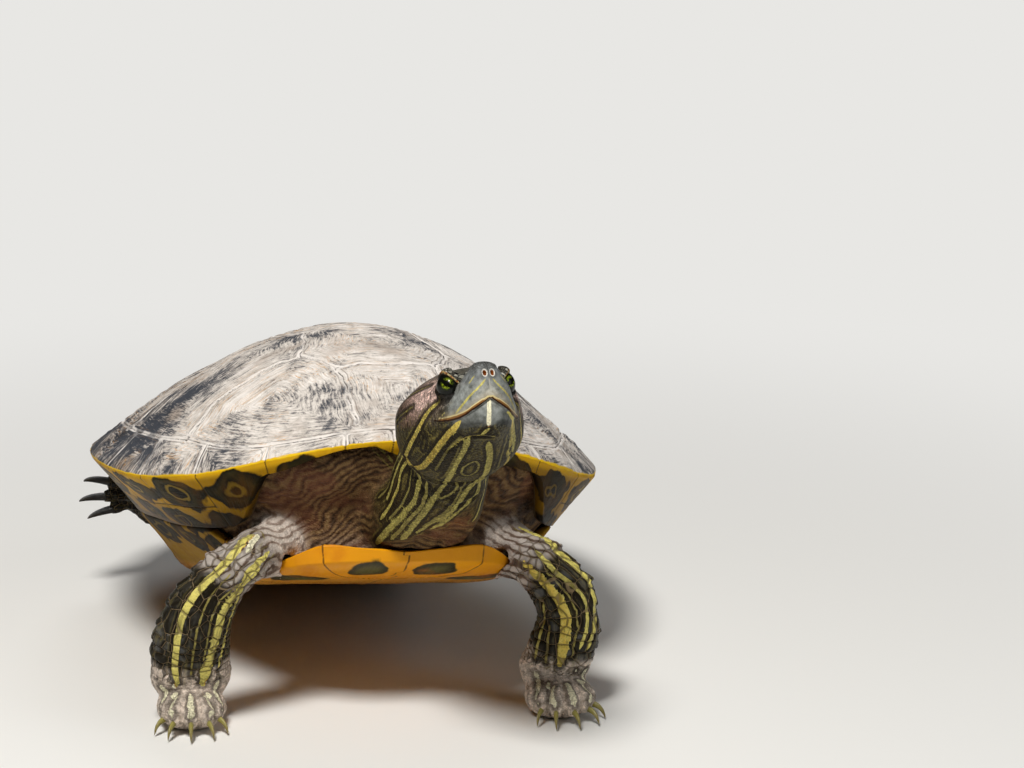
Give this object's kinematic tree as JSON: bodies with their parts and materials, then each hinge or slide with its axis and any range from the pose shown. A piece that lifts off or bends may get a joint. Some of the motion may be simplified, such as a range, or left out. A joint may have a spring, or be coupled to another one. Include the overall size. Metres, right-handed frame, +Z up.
{
  "type": "turtle model",
  "caption": "Life-size still model of an adult red-eared slider turtle, propped on its forelegs with its neck raised and the rear of its shell on the floor.",
  "frame": {"origin": "on the floor, under the middle of the model's box", "axes": "+Z up; the turtle faces -Y, so its right side is -X and its length runs along Y"},
  "size_m": [0.1952, 0.3366, 0.1584],
  "materials": {
    "shell": "dry, weathered, ridged",
    "plastron": "smooth, lightly polished",
    "skin": "scaly, slightly moist",
    "claw": "horny, smooth",
    "eye": "wet"
  },
  "bodies": {
    "root": {"carapace": "shell", "claw_foreleg_left_1": "claw", "claw_foreleg_left_2": "claw", "claw_foreleg_left_3": "claw", "claw_foreleg_left_4": "claw", "claw_foreleg_left_5": "claw", "claw_foreleg_right_1": "claw", "claw_foreleg_right_2": "claw", "claw_foreleg_right_3": "claw", "claw_foreleg_right_4": "claw", "claw_foreleg_right_5": "claw", "claw_hindleg_left_1": "claw", "claw_hindleg_left_2": "claw", "claw_hindleg_left_3": "claw", "claw_hindleg_left_4": "claw", "claw_hindleg_right_1": "claw", "claw_hindleg_right_2": "claw", "claw_hindleg_right_3": "claw", "claw_hindleg_right_4": "claw", "eye_left": "eye", "eye_right": "eye", "forearm_left": "skin", "forearm_right": "skin", "forefoot_left": "skin", "forefoot_right": "skin", "head": "skin", "hind_foot_left": "skin", "hind_foot_right": "skin", "lower_jaw": "skin", "neck": "skin", "plastron": "plastron", "shank_left": "skin", "shank_right": "skin", "tail": "skin", "thigh_left": "skin", "thigh_right": "skin", "trunk": "skin", "upper_arm_left": "skin", "upper_arm_right": "skin"}
  },
  "joints": []
}
